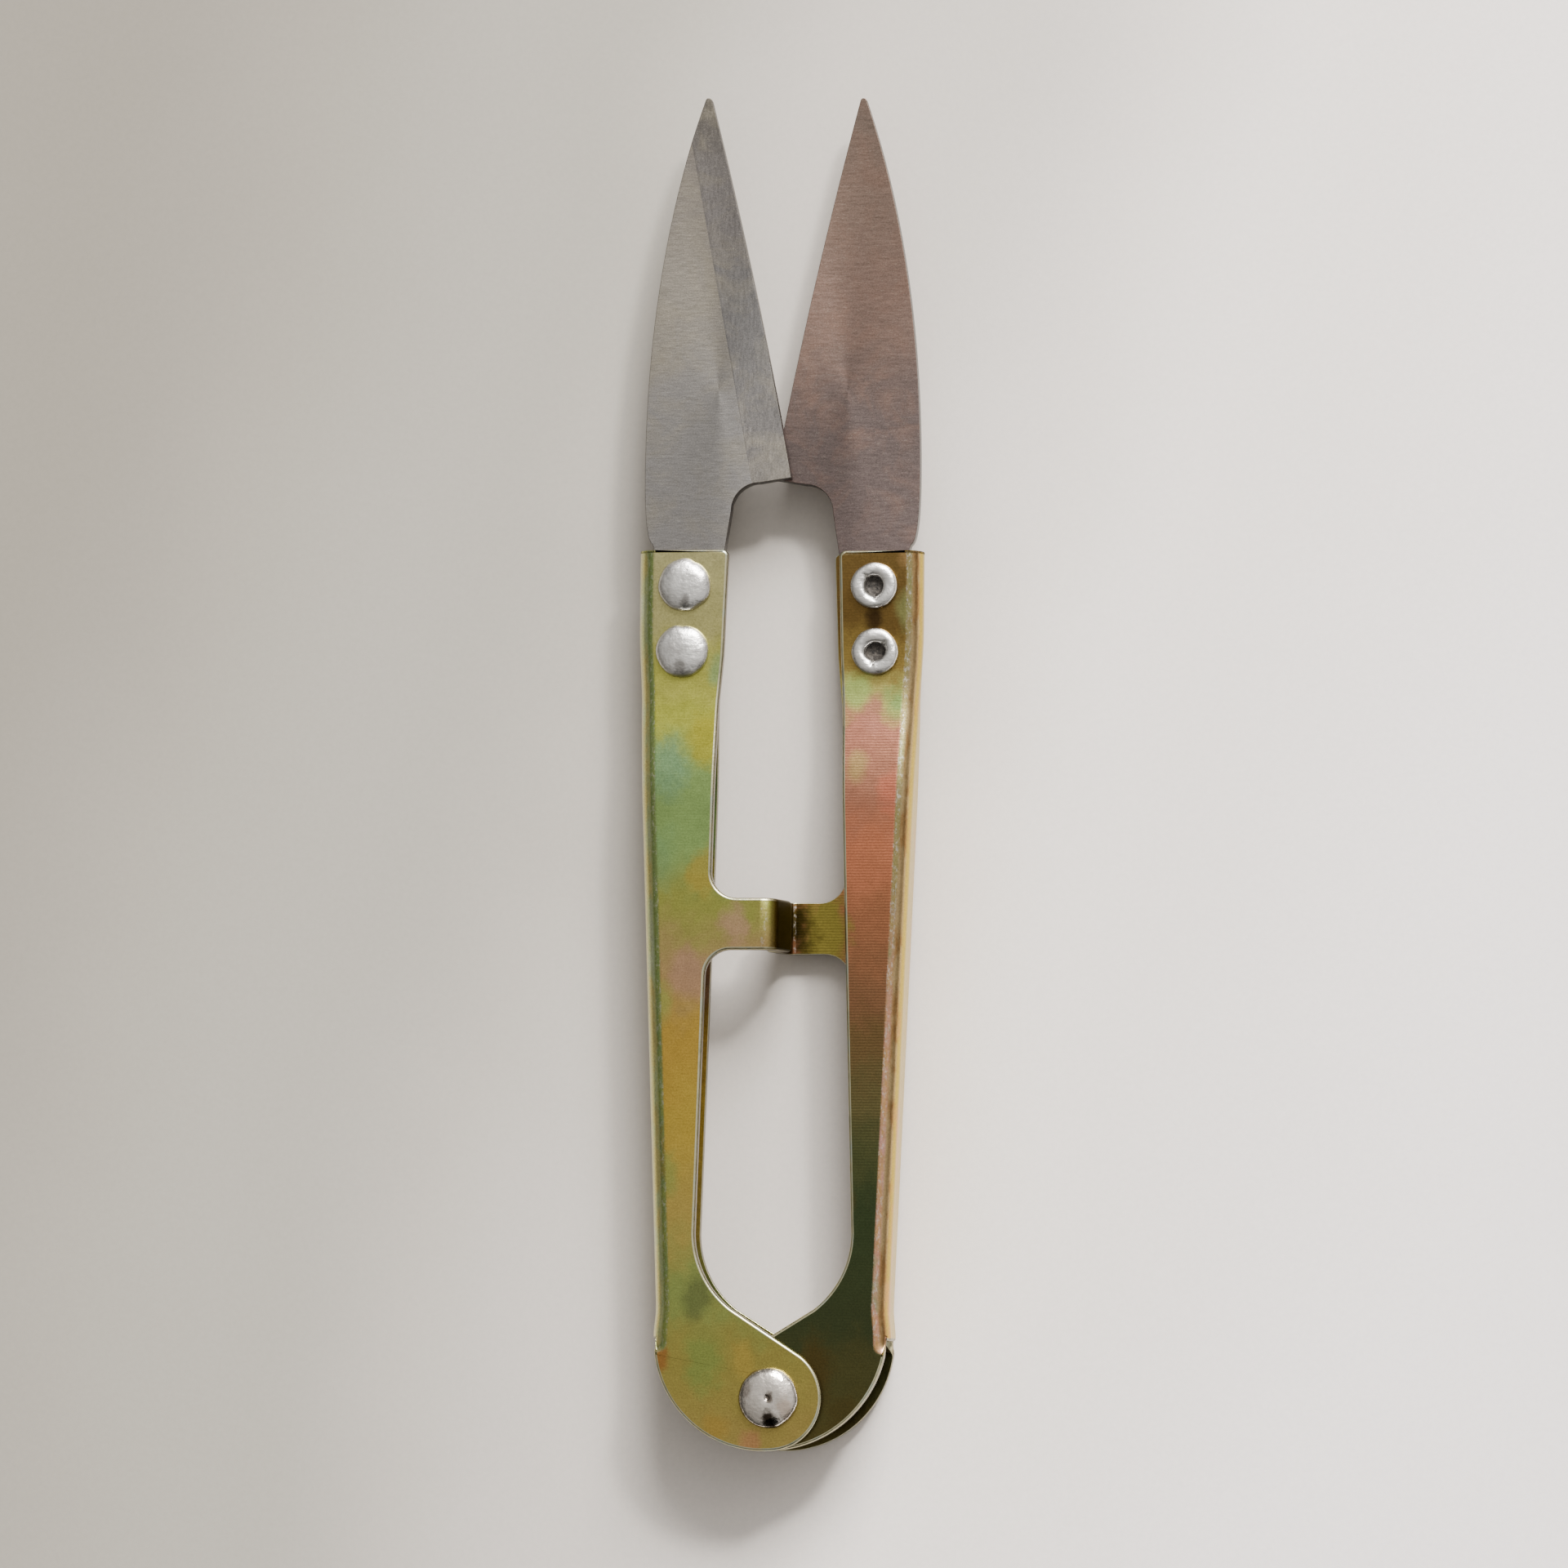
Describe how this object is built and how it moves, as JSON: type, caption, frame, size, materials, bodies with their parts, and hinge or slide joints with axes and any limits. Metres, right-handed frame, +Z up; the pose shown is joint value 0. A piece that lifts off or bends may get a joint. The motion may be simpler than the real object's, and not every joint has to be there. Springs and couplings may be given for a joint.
{
  "type": "thread snips",
  "caption": "Thread snips: pointed blades riveted into folded steel arms that turn on a pivot rivet, sprung open against hooked stop tabs.",
  "frame": {"origin": "middle of the bounding box at its base, the face the snips lie on", "axes": "+Y along the snips from the pivot to the blade tips, +X toward the right half, +Z up through the plates toward the pivot rivet's domed head"},
  "size_m": [0.022, 0.105, 0.0081],
  "materials": {
    "plated_steel": "yellow-chromate zinc plating, iridescent, lightly brushed",
    "blade_steel": "ground satin steel",
    "blade_rivet_steel": "bright, scratched",
    "pivot_rivet_steel": "polished",
    "spring_wire": "drawn wire, satin"
  },
  "bodies": {
    "left_half": {"left_arm": "plated_steel", "left_blade": "blade_steel", "left_upper_rivet": "blade_rivet_steel", "left_lower_rivet": "blade_rivet_steel", "pivot_rivet": "pivot_rivet_steel", "torsion_spring": "spring_wire"},
    "right_half": {"right_arm": "plated_steel", "right_blade": "blade_steel", "right_upper_rivet": "blade_rivet_steel", "right_lower_rivet": "blade_rivet_steel"}
  },
  "joints": [
    {"name": "squeeze", "type": "hinge", "parent": "left_half", "child": "right_half", "pos_m": [0, -0.04844, 0.00397], "axis": [0, 0, 1], "range_deg": [0, 6.9], "stiffness_Nm_per_rad": 0.4, "springref_deg": -17.19, "deforming": ["torsion_spring"]}
  ]
}
